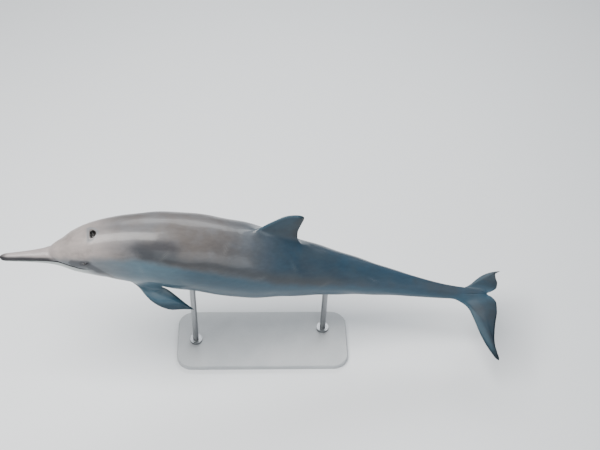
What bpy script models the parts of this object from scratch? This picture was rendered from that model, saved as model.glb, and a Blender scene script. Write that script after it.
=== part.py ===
"""A spinner dolphin at life size, arched as it comes up to breathe, on a plain display stand.

The dolphin faces -X with its left side towards -Y, and +Z is up. The origin lies on the
floor under the middle of the whole object. Lengths are metres.
"""
import math

import bmesh
import bpy
import numpy as np

# Driving dimensions
BODY_LENGTH = 1.85           # beak tip to fluke notch, along the body's axis
AXIS_MIDDLE = (-0.060, 0.030, 0.470)   # where the axis stands halfway along the body
GAP = 0.0003                 # clear gap between touching pieces
EYE_PLACE = 0.163
EYE_ANGLE = 13.0             # degrees above the widest level of the head
EYE_RADIUS = 0.0125
EYE_BULGE = 0.0030           # how far the eyeball stands out of the head
BLOWHOLE_PLACE = 0.1805
BLOWHOLE_ANGLE = 80.0         # degrees round the body; 90 is the middle of the back
BLOWHOLE_RADII = (0.009, 0.009, 0.013)   # deep, along, across
ROD_RADIUS = 0.011
COLLAR_RADIUS = 0.024
COLLAR_HEIGHT = 0.012
ROD_PLACES = {"stand_rod_front": 0.36, "stand_rod_rear": 0.655}
BASE_SIZE = (0.68, 0.27, 0.022)
BASE_CENTRE = (-0.032, 0.008)
BASE_CORNER = 0.06
BASE_BEVEL = 0.003

# Places along the body and sizes across it, as fractions of BODY_LENGTH:
# place, back above the axis, belly below the axis, half width
SECTIONS = {
    "beak_tip": (0.00, 0.006, 0.007, 0.006),
    "beak_root": (0.085, 0.013, 0.015, 0.015),
    "forehead_foot": (0.11, 0.024, 0.020, 0.023),
    "forehead": (0.14, 0.044, 0.031, 0.038),
    "blowhole": (0.18, 0.060, 0.045, 0.049),
    "neck": (0.25, 0.071, 0.063, 0.062),
    "chest": (0.35, 0.080, 0.075, 0.071),
    "fin_front": (0.45, 0.083, 0.077, 0.071),
    "fin_rear": (0.60, 0.064, 0.060, 0.053),
    "vent": (0.70, 0.049, 0.045, 0.038),
    "stock_front": (0.80, 0.035, 0.032, 0.025),
    "stock": (0.90, 0.023, 0.022, 0.014),
    "fluke_root": (0.96, 0.016, 0.015, 0.010),
    "notch": (1.00, 0.006, 0.006, 0.005),
}
SQUARENESS = ((0.0, 2.2), (0.18, 2.15), (0.46, 2.0), (0.70, 1.85), (0.90, 1.6), (1.0, 1.7))
WIDEST_LEVEL = 0.47          # height of the widest place, from belly to back
TIP_ROUNDING = 0.014         # length of the beak's rounded end

# Pose: place along the body and angle of the axis in degrees
NOSE_UP = ((0.0, -1.0), (0.15, -1.0), (0.28, 10.0), (0.42, 23.0),
           (0.56, 18.0), (0.70, 15.0), (0.85, 10.0), (1.0, -13.0))
TAIL_AWAY = ((0.0, 2.0), (0.25, 7.0), (0.50, 7.0), (0.75, -1.0), (1.0, -10.0))

# Mouth line: place along the body and height from the axis
MOUTH = ((0.0, -0.001), (0.085, 0.0005), (0.105, 0.003), (0.125, 0.0045), (0.14, 0.0035),
         (0.152, 0.001), (0.16, 0.001))
BEAK_START = 0.0004
THROAT_START = 0.100
JAW_END = 0.158
JAW_ROOM_MARGIN = 0.003      # how far the cutter for the lower jaw stands out of the skin
TIP_CROWDING = 1.6           # how strongly the rings gather at the beak's round end

# Lengths of the body, parted by thin cuts
LENGTHS = {
    "head": (0.110, 0.205, 18),
    "neck": (0.205, 0.245, 4),
    "trunk_front": (0.245, 0.450, 12),
    "trunk_middle": (0.450, 0.600, 9),
    "trunk_rear": (0.600, 0.740, 8),
    "tail_stock_front": (0.740, 0.870, 7),
    "tail_stock_rear": (0.870, 1.000, 10),
}

# Outlines of the fins: front edge and rear edge from root to tip, as fractions of
# BODY_LENGTH, each given as a place along the body and a distance out from the root
DORSAL_FIN = {
    "place": 0.52,
    "front": ((0.435, 0.065), (0.465, 0.091), (0.490, 0.120), (0.515, 0.144), (0.540, 0.150)),
    "rear": ((0.595, 0.054), (0.565, 0.077), (0.550, 0.112), (0.549, 0.146)),
    "half_thickness": (0.0105, 0.0020),
}
FLIPPER = {
    "place": 0.26,
    "front": ((0.246, -0.034), (0.255, 0.003), (0.275, 0.031), (0.290, 0.046), (0.310, 0.056),
              (0.345, 0.061), (0.367, 0.061)),
    "rear": ((0.294, -0.026), (0.308, 0.005), (0.328, 0.028), (0.350, 0.046), (0.368, 0.058)),
    "half_thickness": (0.0068, 0.0016),
}
FLIPPER_ROOT = (0.55, -0.75)   # across and up, as fractions of the body's half sizes
FLIPPER_DROOP = 40.0           # degrees below level
FLUKE = {
    "place": 1.0,
    "front": ((0.923, 0.000), (0.960, 0.031), (0.973, 0.057), (0.984, 0.084), (1.000, 0.114),
              (1.020, 0.142)),
    "rear": ((0.998, 0.000), (1.018, 0.022), (1.016, 0.068), (1.014, 0.095), (1.023, 0.142)),
    "half_thickness": (0.0060, 0.0013),
}
FLUKE_DROOP = (14.0, 46.0)     # degrees below level at root and at tip

# Shape of every fin: fullness of its cross-section from front edge to rear edge, and how
# soon its thickness falls from root to tip
FIN_FULLNESS = 2.1
FIN_NOSE_POWER = 0.5
FIN_TAIL_POWER = 0.8
FIN_TAPER_POWER = 0.8

RING_POINTS = 32
FIN_CHORD_STEPS = 8
FIN_SPAN_STEPS = 12
CUTTER_SPAN = (0.10, 1.0, 90)  # first place, last place and rows of the whole body's outline

SKIN = {"top": (0.16, 0.18, 0.20), "side": (0.33, 0.36, 0.38), "fin": (0.10, 0.12, 0.14)}


def smooth(knots, where):
    """Smooth curve through (place, value) knots that never overshoots them."""
    x, y = np.array(knots, float).T
    step, rise = np.diff(x), np.diff(y)
    slope = rise / step
    weight_a = 2 * step[1:] + step[:-1]
    weight_b = step[1:] + 2 * step[:-1]
    same_way = slope[1:] * slope[:-1] > 0
    safe_a = np.where(same_way, slope[:-1], 1.0)
    safe_b = np.where(same_way, slope[1:], 1.0)
    inner = (weight_a + weight_b) / (weight_a / safe_a + weight_b / safe_b)
    tangent = np.concatenate([[slope[0]], np.where(same_way, inner, 0.0), [slope[-1]]])
    where = np.asarray(where, float)
    i = np.clip(np.searchsorted(x, where) - 1, 0, len(step) - 1)
    t = (where - x[i]) / step[i]
    return (y[i] + t * step[i] * tangent[i]
            + t**2 * (3 * rise[i] - step[i] * (2 * tangent[i] + tangent[i + 1]))
            + t**3 * (step[i] * (tangent[i] + tangent[i + 1]) - 2 * rise[i]))


class Axis:
    """The body's bent middle line, with the directions along, left and up at each place."""

    def __init__(self, steps=400):
        self.places = np.linspace(0.0, 1.0, steps + 1)
        self.along = self.directions(self.places)[0]
        mean = (self.along[1:] + self.along[:-1]) / 2 * BODY_LENGTH / steps
        path = np.vstack([np.zeros(3), np.cumsum(mean, axis=0)])
        self.points = path - path[steps // 2] + np.array(AXIS_MIDDLE)

    def directions(self, place):
        nose_up = np.radians(smooth(NOSE_UP, place))
        away = np.radians(smooth(TAIL_AWAY, place))
        level = np.zeros_like(away)
        along = np.stack([np.cos(nose_up) * np.cos(away), np.cos(nose_up) * np.sin(away),
                          -np.sin(nose_up)], axis=-1)
        left = np.stack([np.sin(away), -np.cos(away), level], axis=-1)
        return along, left, np.cross(along, -left)

    def frame(self, place):
        point = np.stack([np.interp(place, self.places, self.points[:, k]) for k in range(3)], axis=-1)
        return (point, *self.directions(place))


AXIS = Axis()


def rounding(place):
    """Share of the full section that is left at a place near the beak's round end."""
    return np.sqrt(1 - (1 - np.minimum(np.asarray(place) / TIP_ROUNDING, 1.0))**2)


def sizes(place, grow=0.0):
    """Back, belly and half width in metres at a place."""
    table = np.array(list(SECTIONS.values()))
    scale = BODY_LENGTH * rounding(place)
    back, belly, half = (smooth(table[:, [0, k]], place) * scale for k in (1, 2, 3))
    return back + grow, belly + grow, half + grow


def section(place, angles, grow=0.0):
    """Across and up in metres of points round the body; angle 0 is left, 90 degrees the back."""
    back, belly, half = sizes(place, grow)
    power = 2 / smooth(SQUARENESS, place)
    level = -belly + (back + belly) * WIDEST_LEVEL
    cosine, sine = np.cos(angles), np.sin(angles)
    across = half * np.sign(cosine) * np.abs(cosine)**power
    reach = np.where(sine > 0, back - level, belly + level)
    return across, level + reach * np.sign(sine) * np.abs(sine)**power


def body_ring(place, angles, grow=0.0):
    across, up = section(place, angles, grow)
    point, _, left, above = AXIS.frame(place)
    return point + np.outer(across, left) + np.outer(up, above)


def new_object(name, vertices, faces, material):
    mesh = bpy.data.meshes.new(name)
    mesh.from_pydata([tuple(v) for v in vertices], [], faces)
    piece = bpy.data.objects.new(name, mesh)
    bpy.context.scene.collection.objects.link(piece)
    solid = bmesh.new()
    solid.from_mesh(mesh)
    bmesh.ops.recalc_face_normals(solid, faces=solid.faces)
    solid.to_mesh(mesh)
    solid.free()
    mesh.materials.append(material)
    mesh.shade_smooth()
    mesh.set_sharp_from_angle(angle=math.radians(50))
    return piece


def loft(name, rings, material):
    """A closed solid through a row of rings that have the same number of points."""
    count = len(rings[0])
    vertices = np.concatenate(rings)
    faces = [tuple(range(count)), tuple(range(len(vertices) - count, len(vertices)))]
    for row in range(len(rings) - 1):
        start = row * count
        for k in range(count):
            after = (k + 1) % count
            faces.append((start + k, start + after, start + count + after, start + count + k))
    return new_object(name, vertices, faces, material)


def make_material(name, color, roughness, metallic=0.0):
    material = bpy.data.materials.new(name)
    material.use_nodes = True
    shader = material.node_tree.nodes["Principled BSDF"]
    shader.inputs["Base Color"].default_value = (*color, 1.0)
    shader.inputs["Roughness"].default_value = roughness
    shader.inputs["Metallic"].default_value = metallic
    material.diffuse_color = (*color, 1.0)
    return material


def hide_cutter(cutter):
    cutter.hide_render = True
    cutter.display_type = "WIRE"
    return cutter


def cut(piece, cutter):
    modifier = piece.modifiers.new("Cut by " + cutter.name, "BOOLEAN")
    modifier.operation = "DIFFERENCE"
    modifier.object = cutter


def full_circle(count=RING_POINTS):
    return np.arange(count) * 2 * math.pi / count


def body_length(name, first, last, rows, material, grow=0.0, ends_gap=GAP):
    trim = ends_gap / 2 / BODY_LENGTH
    places = np.linspace(first + trim, last - trim, rows + 1)
    return loft(name, [body_ring(place, full_circle(), grow) for place in places], material)


def mouth_angle(place, height, grow):
    """Angle at which the outline of the section passes a height near its widest level."""
    back, belly, _ = sizes(place, grow)
    level = -belly + (back + belly) * WIDEST_LEVEL
    share = (level - height) / (belly + level)
    return -math.copysign(math.asin(min(abs(share), 1.0)**(smooth(SQUARENESS, place) / 2)), share)


def jaw_ring(place, upper, offset, grow=0.0, count=RING_POINTS // 2):
    """Half a section, above or below the mouth line, closed by a flat mouth."""
    height = smooth(MOUTH, place) * BODY_LENGTH * rounding(place) + offset
    edge = mouth_angle(place, height, grow)
    if upper:
        angles = np.linspace(edge, math.pi - edge, count)
    else:
        angles = np.linspace(math.pi - edge, 2 * math.pi + edge, count)
    return body_ring(place, angles, grow)


def jaw(name, places, upper, material, offset, grow=0.0):
    return loft(name, [jaw_ring(place, upper, offset, grow) for place in places], material)


def beak_places(last, rows):
    """Places from the beak's tip, closer together at its rounded end."""
    return BEAK_START + (last - BEAK_START) * np.linspace(0.0, 1.0, rows + 1)**TIP_CROWDING


def edge_curve(points, steps):
    """Outline points spread evenly by number from root to tip."""
    points = np.array(points)
    share = np.linspace(0.0, 1.0, len(points))
    ends = np.linspace(0.0, 1.0, steps + 1)
    return np.stack([smooth(np.stack([share, points[:, k]], axis=1), ends) for k in (0, 1)], axis=-1)


def fin_rings(shape, place_point):
    """Rings of a fin from root to tip; place_point turns (along, out, thick) into a point."""
    front = edge_curve(shape["front"], FIN_SPAN_STEPS)
    rear = edge_curve(shape["rear"], FIN_SPAN_STEPS)
    chord = (1 - np.cos(np.linspace(0.0, math.pi, FIN_CHORD_STEPS + 1))) / 2
    fullness = FIN_FULLNESS * chord**FIN_NOSE_POWER * (1 - chord)**FIN_TAIL_POWER
    root, tip = shape["half_thickness"]
    rings = []
    for row in range(FIN_SPAN_STEPS + 1):
        share = row / FIN_SPAN_STEPS
        thick = (root + (tip - root) * share**FIN_TAPER_POWER) * fullness
        line = front[row] + np.outer(chord, rear[row] - front[row])
        upper = [place_point(a, b, t) for (a, b), t in zip(line, thick)]
        lower = [place_point(a, b, -t) for (a, b), t in zip(line[1:-1], thick[1:-1])]
        rings.append(np.array(upper + lower[::-1]))
    return rings


def dorsal_fin(material):
    point, along, left, above = AXIS.frame(DORSAL_FIN["place"])

    def place_point(a, b, thick):
        reach = (a - DORSAL_FIN["place"]) * BODY_LENGTH
        return point + along * reach + above * b * BODY_LENGTH + left * thick * BODY_LENGTH
    return loft("dorsal_fin", fin_rings(DORSAL_FIN, place_point), material)


def flipper(side, sign, material):
    point, along, left, above = AXIS.frame(FLIPPER["place"])
    back, belly, half = sizes(FLIPPER["place"])
    root = (point + left * sign * half * FLIPPER_ROOT[0] + above * belly * FLIPPER_ROOT[1])
    droop = math.radians(FLIPPER_DROOP)
    out = left * sign * math.cos(droop) - above * math.sin(droop)
    normal = np.cross(along, out)

    def place_point(a, b, thick):
        reach = (a - FLIPPER["place"]) * BODY_LENGTH
        return root + along * reach + out * b * BODY_LENGTH + normal * thick * BODY_LENGTH
    return loft("flipper_" + side, fin_rings(FLIPPER, place_point), material)


def fluke(side, sign, material):
    """Half of the tail fin, bent down more and more towards its tip."""
    point, along, left, above = AXIS.frame(FLUKE["place"])
    root_droop, tip_droop = (math.radians(angle) for angle in FLUKE_DROOP)
    span = FLUKE["front"][-1][1]
    turn = (tip_droop - root_droop) / span

    def place_point(a, b, thick):
        droop = root_droop + turn * b
        sideways = (math.sin(droop) - math.sin(root_droop)) / turn
        down = (math.cos(root_droop) - math.cos(droop)) / turn
        across = sideways + math.sin(droop) * thick
        up = math.cos(droop) * thick - down
        reach = (a - FLUKE["place"]) * BODY_LENGTH
        return point + along * reach + (left * sign * across + above * up) * BODY_LENGTH
    return loft("fluke_" + side, fin_rings(FLUKE, place_point), material)


def ball(name, centre, radii, axes, material, rows=8, count=14):
    """An ellipsoid with its pole along the first of its axes."""
    rings = []
    for turn in np.linspace(0.0, math.pi, rows + 1)[1:-1]:
        ring = full_circle(count)
        rings.append(centre + axes[0] * radii[0] * math.cos(turn)
                     + np.outer(np.cos(ring), axes[1]) * radii[1] * math.sin(turn)
                     + np.outer(np.sin(ring), axes[2]) * radii[2] * math.sin(turn))
    return loft(name, rings, material)


def eye(side, angle, head, material):
    place = EYE_PLACE
    surface = body_ring(place, np.array([angle]))[0]
    _, along, left, above = AXIS.frame(place)
    outward = left * math.cos(angle) + above * math.sin(angle)
    centre = surface - outward * (EYE_RADIUS - EYE_BULGE)
    axes = (outward, along, above)
    socket = hide_cutter(ball("eye_socket_" + side, centre, (EYE_RADIUS + GAP,) * 3, axes, material))
    cut(head, socket)
    return ball("eye_" + side, centre, (EYE_RADIUS,) * 3, axes, material)


def blowhole(head, material):
    """A shallow crescent on top of the head, just left of its middle line."""
    surface = body_ring(BLOWHOLE_PLACE, np.array([math.radians(BLOWHOLE_ANGLE)]))[0]
    _, along, left, above = AXIS.frame(BLOWHOLE_PLACE)
    hollow = ball("blowhole_hollow", surface, BLOWHOLE_RADII, (above, along, left), material)
    cut(head, hide_cutter(hollow))


def stand_rod(name, place, body, material):
    """An upright rod with a collar at its foot, cut to the belly at its top."""
    axis_point = AXIS.frame(place)[0]
    foot = BASE_SIZE[2] + GAP
    heights = (foot, foot + COLLAR_HEIGHT, foot + COLLAR_HEIGHT, axis_point[2])
    radii = (COLLAR_RADIUS, COLLAR_RADIUS, ROD_RADIUS, ROD_RADIUS)
    ring = full_circle(24)
    rings = [np.stack([axis_point[0] + radius * np.cos(ring), axis_point[1] + radius * np.sin(ring),
                       np.full(len(ring), height)], axis=-1) for radius, height in zip(radii, heights)]
    rod = loft(name, rings, material)
    cut(rod, body)
    return rod


def stand_base(material):
    """A flat plate with round corners and a small bevel round its top."""
    length, width, height = BASE_SIZE
    outline = []
    for corner, (x_sign, y_sign) in enumerate(((1, 1), (-1, 1), (-1, -1), (1, -1))):
        for turn in np.linspace(0.0, math.pi / 2, 7) + corner * math.pi / 2:
            outline.append((x_sign * (length / 2 - BASE_CORNER), y_sign * (width / 2 - BASE_CORNER),
                            math.cos(turn), math.sin(turn)))
    outline = np.array(outline)
    rings = []
    for inset, level in ((0.0, 0.0), (0.0, height - BASE_BEVEL), (BASE_BEVEL, height)):
        reach = BASE_CORNER - inset
        rings.append(np.stack([BASE_CENTRE[0] + outline[:, 0] + outline[:, 2] * reach,
                               BASE_CENTRE[1] + outline[:, 1] + outline[:, 3] * reach,
                               np.full(len(outline), level)], axis=-1))
    return loft("stand_base", rings, material)


def main():
    for old in list(bpy.data.objects):
        bpy.data.objects.remove(old, do_unlink=True)
    back_skin = make_material("dark_back", SKIN["top"], 0.35)
    side_skin = make_material("grey_side", SKIN["side"], 0.35)
    fin_skin = make_material("dark_fin", SKIN["fin"], 0.35)
    eye_gloss = make_material("dark_eye", (0.02, 0.015, 0.012), 0.08)
    steel = make_material("brushed_rod", (0.55, 0.56, 0.57), 0.35, 1.0)
    base_paint = make_material("pale_base", (0.70, 0.71, 0.71), 0.5)

    body = hide_cutter(body_length("body_outline", *CUTTER_SPAN, side_skin, grow=GAP, ends_gap=0.0))
    pieces = {name: body_length(name, first, last, rows, side_skin)
              for name, (first, last, rows) in LENGTHS.items()}
    beak_end = LENGTHS["head"][0] - GAP / 2 / BODY_LENGTH
    throat = np.linspace(THROAT_START, JAW_END, 9)
    jaw("beak_upper", beak_places(beak_end, 13), True, back_skin, GAP / 2)
    lower_places = np.concatenate([beak_places(THROAT_START, 12)[:-1], throat])
    jaw("lower_jaw", lower_places, False, side_skin, -GAP / 2)
    room_places = np.append(throat, JAW_END + GAP / BODY_LENGTH)
    room = jaw("jaw_room", room_places, False, side_skin, GAP / 2, grow=JAW_ROOM_MARGIN)
    cut(pieces["head"], hide_cutter(room))
    eye("left", math.radians(EYE_ANGLE), pieces["head"], eye_gloss)
    eye("right", math.radians(180 - EYE_ANGLE), pieces["head"], eye_gloss)
    blowhole(pieces["head"], side_skin)

    cut(dorsal_fin(fin_skin), body)
    for side, sign in (("left", 1), ("right", -1)):
        cut(flipper(side, sign, fin_skin), body)
        cut(fluke(side, sign, fin_skin), body)

    stand_base(base_paint)
    for name, place in ROD_PLACES.items():
        stand_rod(name, place, body, steel)


main()
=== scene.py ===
import math
import bmesh
import bpy
import numpy as np
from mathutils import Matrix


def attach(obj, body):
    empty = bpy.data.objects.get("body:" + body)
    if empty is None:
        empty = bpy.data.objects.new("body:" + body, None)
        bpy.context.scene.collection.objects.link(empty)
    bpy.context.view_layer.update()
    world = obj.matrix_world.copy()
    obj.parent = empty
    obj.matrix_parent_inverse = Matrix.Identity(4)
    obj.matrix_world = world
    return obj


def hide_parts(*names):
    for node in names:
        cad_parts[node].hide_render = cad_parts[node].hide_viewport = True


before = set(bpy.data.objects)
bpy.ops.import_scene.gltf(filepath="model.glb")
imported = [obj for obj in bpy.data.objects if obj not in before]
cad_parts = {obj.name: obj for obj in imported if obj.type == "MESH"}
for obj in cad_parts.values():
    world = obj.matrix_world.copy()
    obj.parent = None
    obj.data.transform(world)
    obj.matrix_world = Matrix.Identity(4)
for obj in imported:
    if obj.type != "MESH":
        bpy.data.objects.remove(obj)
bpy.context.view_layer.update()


# smooth curve through knots that never overshoots them: a cubic on each step whose slopes
# are the weighted harmonic means of the slopes on both sides; values may be rows of numbers
def smoothCurve(x, y, where):
    x, y, where = np.asarray(x, float), np.asarray(y, float), np.asarray(where, float)
    spread = (-1,) + (1,) * (y.ndim - 1)
    gap = np.diff(x)
    step, rise = gap.reshape(spread), np.diff(y, axis=0)
    slope = rise / step
    weightA = 2 * step[1:] + step[:-1]
    weightB = step[1:] + 2 * step[:-1]
    sameWay = slope[1:] * slope[:-1] > 0
    safeA = np.where(sameWay, slope[:-1], 1.0)
    safeB = np.where(sameWay, slope[1:], 1.0)
    inner = np.where(sameWay, (weightA + weightB) / (weightA / safeA + weightB / safeB), 0.0)
    tangent = np.concatenate([slope[:1], inner, slope[-1:]])
    where = np.clip(where, x[0], x[-1])
    i = np.clip(np.searchsorted(x, where) - 1, 0, len(x) - 2)
    t = (where - x[i]) / gap[i]
    width = gap[i]
    if y.ndim > 1:
        t, width = t[:, None], width[:, None]
    return (y[i] + t * width * tangent[i]
            + t**2 * (3 * rise[i] - width * (2 * tangent[i] + tangent[i + 1]))
            + t**3 * (width * (tangent[i] + tangent[i + 1]) - 2 * rise[i]))


def curve(knots, where):
    x, y = np.array(knots, float).T
    return smoothCurve(x, y, where)


# rises from 0 to 1 between two values, level at both ends: t squared times (3 - 2t)
def ease(value, low, high):
    t = np.clip((value - low) / (high - low), 0.0, 1.0)
    return t * t * (3 - 2 * t)


# a bell of height 1: e to the minus square of distance over width
def bell(distance, width):
    return np.exp(-(distance / width)**2)


def linkPiece(name, vertices, faces, smoothFaces=True):
    mesh = bpy.data.meshes.new(name)
    mesh.from_pydata(vertices.tolist(), [], faces)
    mesh.polygons.foreach_set("use_smooth", np.full(len(mesh.polygons), smoothFaces))
    mesh.update()
    piece = bpy.data.objects.new(name, mesh)
    bpy.context.scene.collection.objects.link(piece)
    return piece


# quads between the rings of a grid that closes on itself, and a fan to a pole at each end
def closedFaces(rows, columns):
    spots = np.arange(rows * columns).reshape(rows, columns)
    after = np.roll(spots, -1, axis=1)
    poles = np.full((2, columns), [[rows * columns], [rows * columns + 1]])
    quads = np.stack([spots[:-1], after[:-1], after[1:], spots[1:]], axis=-1).reshape(-1, 4)
    start = np.stack([poles[0], after[0], spots[0]], axis=-1)
    end = np.stack([poles[1], spots[-1], after[-1]], axis=-1)
    return quads.tolist() + start.tolist() + end.tolist()


def addField(piece, name, values):
    layer = piece.data.attributes.new(name, "FLOAT", "POINT")
    layer.data.foreach_set("value", np.ascontiguousarray(values, np.float32))


# places run from 0 at the beak's tip to 1 at the notch of the flukes; sizes are
# fractions of the length, angles are degrees
body = {
    "length": 1.85,
    "middle": (-0.060, 0.030, 0.470),
    "noseUp": ((0, -1), (.15, -1), (.28, 10), (.42, 23), (.56, 18), (.70, 15), (.85, 10), (1, -13)),
    "tailAway": ((0, 2), (.25, 7), (.50, 7), (.75, -1), (1, -10)),
    # place, back above the axis, belly below it, half width
    "sections": ((0, .006, .007, .006), (.085, .013, .015, .015), (.11, .024, .020, .023),
                 (.14, .044, .031, .038), (.18, .060, .045, .049), (.25, .071, .063, .062),
                 (.35, .080, .075, .071), (.45, .083, .077, .071), (.60, .064, .060, .053),
                 (.70, .049, .045, .038), (.80, .035, .032, .025), (.90, .023, .022, .014),
                 (.96, .016, .015, .010), (1, .006, .006, .005)),
    "squareness": ((0, 2.2), (.18, 2.15), (.46, 2.0), (.70, 1.85), (.90, 1.6), (1, 1.7)),
    "widestLevel": 0.47,
    "noseRounding": 0.014,
    "tailRounding": 0.012,
}
length = body["length"]
sectionTable = np.array(body["sections"])


# direction of the axis from its angles nose up and away, the level direction to its left, and
# the direction above both
def axisDirections(place):
    noseUp = np.radians(curve(body["noseUp"], place))
    away = np.radians(curve(body["tailAway"], place))
    level = np.zeros_like(away)
    along = np.stack([np.cos(noseUp) * np.cos(away), np.cos(noseUp) * np.sin(away),
                      -np.sin(noseUp)], axis=-1)
    left = np.stack([np.sin(away), -np.cos(away), level], axis=-1)
    return along, left, np.cross(along, -left)


# the axis is the running sum of its direction, moved so that its middle is where it belongs
axisCount = 400
axisPlaces = np.linspace(0.0, 1.0, axisCount + 1)
axisAlong = axisDirections(axisPlaces)[0]
axisSteps = (axisAlong[1:] + axisAlong[:-1]) / 2 * length / axisCount
axisPoints = np.vstack([np.zeros(3), np.cumsum(axisSteps, axis=0)])
axisPoints += np.array(body["middle"]) - axisPoints[axisCount // 2]


def axisFrame(place):
    place = np.asarray(place, float)
    point = np.stack([np.interp(place, axisPlaces, axisPoints[:, k]) for k in range(3)], axis=-1)
    return (point, *axisDirections(place))


# metres from the axis to back and belly and half the width; each end closes as a quarter circle
def bodySizes(place):
    nose = np.sqrt(1 - (1 - np.minimum(place / body["noseRounding"], 1.0))**2)
    tail = np.sqrt(1 - (1 - np.minimum((1 - place) / body["tailRounding"], 1.0))**2)
    scale = length * nose * tail
    return [smoothCurve(sectionTable[:, 0], sectionTable[:, k], place) * scale for k in (1, 2, 3)]


# a squared oval: across is half the width times the cosine's power, up is the level of the
# widest place plus the reach to back or belly times the sine's power; turn is in degrees,
# -90 at the belly, 0 at the left, 90 at the back and 180 at the right
def bodyPoint(place, turn):
    back, belly, half = bodySizes(place)
    power = 2 / curve(body["squareness"], place)
    level = -belly + (back + belly) * body["widestLevel"]
    cosine, sine = np.cos(np.radians(turn)), np.sin(np.radians(turn))
    across = half * np.sign(cosine) * np.abs(cosine)**power
    reach = np.where(sine > 0, back - level, belly + level)
    up = level + reach * np.sign(sine) * np.abs(sine)**power
    point, along, left, above = axisFrame(place)
    return point + across[..., None] * left + up[..., None] * above


# rows run from nose to tail and columns round the body; both gather where detail is
grid = {
    "rows": ((0, .00004), (3, .0005), (7, .0025), (14, .0095), (19, .017), (66, .135), (76, .150),
             (114, .190), (132, .234), (178, .316), (196, .415), (276, .614), (312, .900),
             (336, .935), (400, .9925), (418, .99995)),
    "halfColumns": 114,
    "knotColumns": (0, 8, 16, 24, 32, 39, 54, 69, 92, 114),
    # place, then the turn of each knot column from the belly to the back
    "turns": ((.000, -90, -48, -14, -3, 8, 19, 36, 53, 74, 90),
              (.090, -90, -46, -12, 0, 11, 20, 36, 52, 72, 90),
              (.142, -90, -46, -14, -3, 3, 6, 17, 27, 68, 90),
              (.190, -90, -48, -17, -6, 1, 5, 16, 27, 68, 90),
              (.240, -90, -79, -67, -55, -43, -32, -8, 14, 60, 90),
              (.310, -90, -79, -67, -55, -43, -32, -6, 18, 60, 90),
              (.415, -90, -74, -59, -46, -33, -22, 2, 30, 66, 90),
              (.615, -90, -74, -59, -46, -33, -22, 2, 30, 66, 90),
              (.760, -90, -77, -64, -50, -37, -25, 0, 25, 62, 90),
              (.905, -90, -80, -68, -53, -38, -26, 0, 26, 64, 90),
              (1.000, -90, -80, -68, -53, -38, -26, 0, 26, 64, 90)),
    "mouthColumn": 24, "mouthReach": 24,
}
rowCount = grid["rows"][-1][0] + 1
halfCount = grid["halfColumns"]
columnCount = 2 * halfCount
places = curve(grid["rows"], np.arange(rowCount))
turnTable = np.array(grid["turns"])
knotTurns = smoothCurve(turnTable[:, 0], turnTable[:, 1:], places)
halfTurn = smoothCurve(grid["knotColumns"], knotTurns.T, np.arange(halfCount + 1)).T

# mouth line: place along the body and height from the axis
mouth = {
    "line": ((0, -.001), (.085, .0005), (.105, .003), (.125, .0045), (.14, .0035), (.152, .001),
             (.16, .001), (.166, .002)),
    "end": .1610, "corner": .1620, "letGo": .20,   # the grid stops following it at the last
    "depth": .0022, "width": .0016, "lipHeight": .0007, "lipAt": .0042, "lipWidth": .0026,
    "startFade": (.0008, .004), "endFade": (.155, .165),
}


# turn at which the outline passes the mouth's height: minus the arcsine of the share of the
# reach below the widest level, to the power that squares the oval
def mouthTurn(place):
    back, belly, _ = bodySizes(place)
    fullBack = smoothCurve(sectionTable[:, 0], sectionTable[:, 1], place)
    height = curve(mouth["line"], place) * back / np.maximum(fullBack, 1e-9)
    level = -belly + (back + belly) * body["widestLevel"]
    reach = np.where(height < level, belly + level, back - level)
    share = np.clip((level - height) / reach, -1, 1)
    return -np.degrees(np.sign(share) * np.arcsin(np.abs(share)**(curve(body["squareness"], place) / 2)))


# draws one column onto a line on the body, and its neighbours with it
def pullColumn(column, reach, target, strength):
    offset = (target - halfTurn[:, column]) * strength
    near = np.cos(np.clip((np.arange(halfCount + 1) - column) / reach, -1, 1) * math.pi / 2)**2
    halfTurn[:, :] += offset[:, None] * near[None, :]


pullColumn(grid["mouthColumn"], grid["mouthReach"], mouthTurn(places),
           1 - ease(places, mouth["end"], mouth["letGo"]))

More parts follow.
